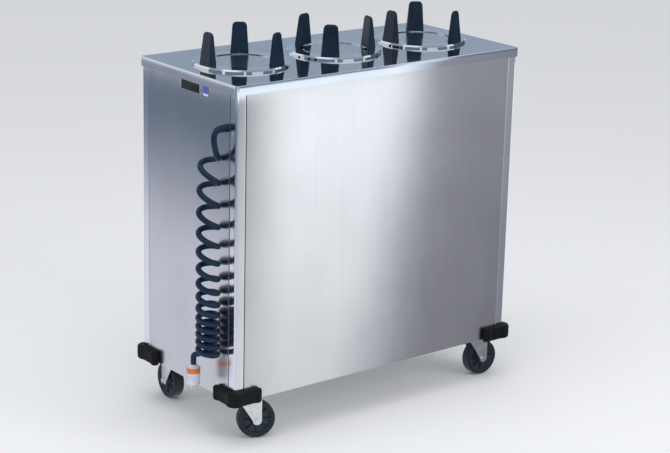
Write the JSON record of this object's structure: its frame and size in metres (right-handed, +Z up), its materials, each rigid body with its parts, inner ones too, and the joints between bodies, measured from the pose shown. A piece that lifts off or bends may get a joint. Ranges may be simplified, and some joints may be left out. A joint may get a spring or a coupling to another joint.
{
  "type": "plate dispenser cart",
  "caption": "Wheeled stainless cabinet with a row of heated, spring-lifted plate silos set in its deck, upright guide posts, corner bumpers, swivel casters and a curly mains lead.",
  "frame": {"origin": "on the floor under the middle of the cabinet", "axes": "+Z up, X along the cabinet with the cord end at -X, the long front face at -Y"},
  "size_m": [1.0224, 0.4805, 1.056],
  "materials": {
    "brushed_stainless": "satin brushed stainless sheet with soft vertical grain",
    "polished_stainless": "polished stainless sheet with clear reflections",
    "galvanised_steel": "dull galvanised sheet",
    "zinc_plated_steel": "bright zinc plate",
    "spring_steel": "drawn wire, satin",
    "guide_plastic": "moulded dark navy black, semi-gloss",
    "moulded_black_plastic": "moulded heat-proof plastic",
    "bumper_rubber": "matte black non-marking rubber",
    "caster_tread": "hard black rubber, slightly worn",
    "cord_rubber": "smooth dark blue-black jacket, semi-gloss",
    "plug_plastic": "light grey moulded plastic",
    "plug_band_plastic": "orange-red moulded collar",
    "brass": "bright brass",
    "heater_sheath": "heat-tinted steel sheath"
  },
  "bodies": {
    "cabinet": {"back_panel": "brushed_stainless", "base_pan": "galvanised_steel", "caster_bolts": "zinc_plated_steel", "caster_channel_cord_end": "zinc_plated_steel", "caster_channel_plain_end": "zinc_plated_steel", "caster_plate_back_left": "zinc_plated_steel", "caster_plate_back_right": "zinc_plated_steel", "caster_plate_front_left": "zinc_plated_steel", "caster_plate_front_right": "zinc_plated_steel", "cord_end_panel": "brushed_stainless", "corner_bumper_back_left": "bumper_rubber", "corner_bumper_back_right": "bumper_rubber", "corner_bumper_front_left": "bumper_rubber", "corner_bumper_front_right": "bumper_rubber", "corner_post_back_left": "brushed_stainless", "corner_post_back_right": "brushed_stainless", "corner_post_front_left": "brushed_stainless", "corner_post_front_right": "brushed_stainless", "deck": "polished_stainless", "front_panel": "brushed_stainless", "heater_brackets": "galvanised_steel", "heater_element": "heater_sheath", "heater_terminal_box": "galvanised_steel", "junction_box": "galvanised_steel", "plain_end_panel": "brushed_stainless", "plug_band": "plug_band_plastic", "plug_body": "plug_plastic", "plug_prongs": "brass", "post_screws": "brushed_stainless", "power_cord": "cord_rubber", "silo_1_guide_posts": "guide_plastic", "silo_1_ring": "polished_stainless", "silo_1_springs": "spring_steel", "silo_1_tube": "galvanised_steel", "silo_2_guide_posts": "guide_plastic", "silo_2_ring": "polished_stainless", "silo_2_springs": "spring_steel", "silo_2_tube": "galvanised_steel", "silo_3_guide_posts": "guide_plastic", "silo_3_ring": "polished_stainless", "silo_3_springs": "spring_steel", "silo_3_tube": "galvanised_steel", "strain_relief": "cord_rubber", "thermostat": "moulded_black_plastic", "wiring_conduit": "galvanised_steel"},
    "platform_1": {"silo_1_platform": "polished_stainless"},
    "platform_2": {"silo_2_platform": "polished_stainless"},
    "platform_3": {"silo_3_platform": "polished_stainless"},
    "caster_front_left": {"caster_fork_front_left": "zinc_plated_steel", "caster_axle_front_left": "zinc_plated_steel"},
    "wheel_front_left": {"caster_wheel_front_left": "caster_tread"},
    "caster_front_right": {"caster_fork_front_right": "zinc_plated_steel", "caster_axle_front_right": "zinc_plated_steel"},
    "wheel_front_right": {"caster_wheel_front_right": "caster_tread"},
    "caster_back_left": {"caster_fork_back_left": "zinc_plated_steel", "caster_axle_back_left": "zinc_plated_steel"},
    "wheel_back_left": {"caster_wheel_back_left": "caster_tread"},
    "caster_back_right": {"caster_fork_back_right": "zinc_plated_steel", "caster_axle_back_right": "zinc_plated_steel"},
    "wheel_back_right": {"caster_wheel_back_right": "caster_tread"}
  },
  "joints": [
    {"name": "platform_1_drop", "type": "slide", "parent": "cabinet", "child": "platform_1", "axis": [0, 0, 1], "range_m": [-0.54, 0], "stiffness_N_per_m": 450, "springref_m": 0.05, "deforming": ["silo_1_springs"]},
    {"name": "platform_2_drop", "type": "slide", "parent": "cabinet", "child": "platform_2", "axis": [0, 0, 1], "range_m": [-0.54, 0], "stiffness_N_per_m": 450, "springref_m": 0.05, "deforming": ["silo_2_springs"]},
    {"name": "platform_3_drop", "type": "slide", "parent": "cabinet", "child": "platform_3", "axis": [0, 0, 1], "range_m": [-0.54, 0], "stiffness_N_per_m": 450, "springref_m": 0.05, "deforming": ["silo_3_springs"]},
    {"name": "caster_front_left_swivel", "type": "hinge", "parent": "cabinet", "child": "caster_front_left", "pos_m": [-0.399, -0.156, 0.117], "axis": [0, 0, 1], "continuous": true},
    {"name": "wheel_front_left_roll", "type": "hinge", "parent": "caster_front_left", "child": "wheel_front_left", "pos_m": [-0.36562, -0.16949, 0.051], "axis": [0.3746, 0.9272, 0], "continuous": true},
    {"name": "caster_front_right_swivel", "type": "hinge", "parent": "cabinet", "child": "caster_front_right", "pos_m": [0.399, -0.156, 0.117], "axis": [0, 0, 1], "continuous": true},
    {"name": "wheel_front_right_roll", "type": "hinge", "parent": "caster_front_right", "child": "wheel_front_right", "pos_m": [0.43491, -0.15851, 0.051], "axis": [0.0698, 0.9976, 0], "continuous": true},
    {"name": "caster_back_left_swivel", "type": "hinge", "parent": "cabinet", "child": "caster_back_left", "pos_m": [-0.399, 0.156, 0.117], "axis": [0, 0, 1], "continuous": true},
    {"name": "wheel_back_left_roll", "type": "hinge", "parent": "caster_back_left", "child": "wheel_back_left", "pos_m": [-0.39649, 0.19191, 0.051], "axis": [-0.9976, 0.0698, 0], "continuous": true},
    {"name": "caster_back_right_swivel", "type": "hinge", "parent": "cabinet", "child": "caster_back_right", "pos_m": [0.399, 0.156, 0.117], "axis": [0, 0, 1], "continuous": true},
    {"name": "wheel_back_right_roll", "type": "hinge", "parent": "caster_back_right", "child": "wheel_back_right", "pos_m": [0.42658, 0.17914, 0.051], "axis": [-0.6428, 0.766, 0], "continuous": true}
  ]
}
